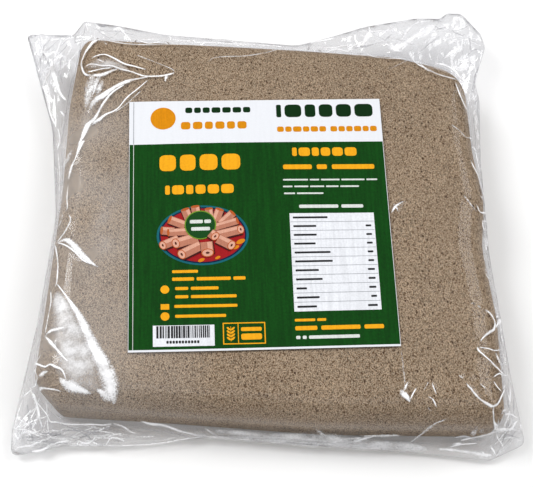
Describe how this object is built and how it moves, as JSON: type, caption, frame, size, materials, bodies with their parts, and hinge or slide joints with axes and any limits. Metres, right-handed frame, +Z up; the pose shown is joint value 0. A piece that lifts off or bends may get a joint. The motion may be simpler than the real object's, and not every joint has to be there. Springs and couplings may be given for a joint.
{
  "type": "pack of injera flatbread",
  "caption": "Sealed clear plastic bag of folded injera flatbread, lying flat, with loose film round the block and a square paper label on its upper face.",
  "frame": {"origin": "middle of the underside of the bag, where it rests on a surface", "axes": "+Z up through the label, +X to the right and +Y away from a reader for whom the label is upright"},
  "size_m": [0.3233, 0.325, 0.0529],
  "materials": {
    "clear_bag": "clear glossy film over brown-grey bread",
    "label_paper": "coated paper, mostly dark green"
  },
  "bodies": {
    "root": {"bag": "clear_bag", "label": "label_paper"}
  },
  "joints": []
}
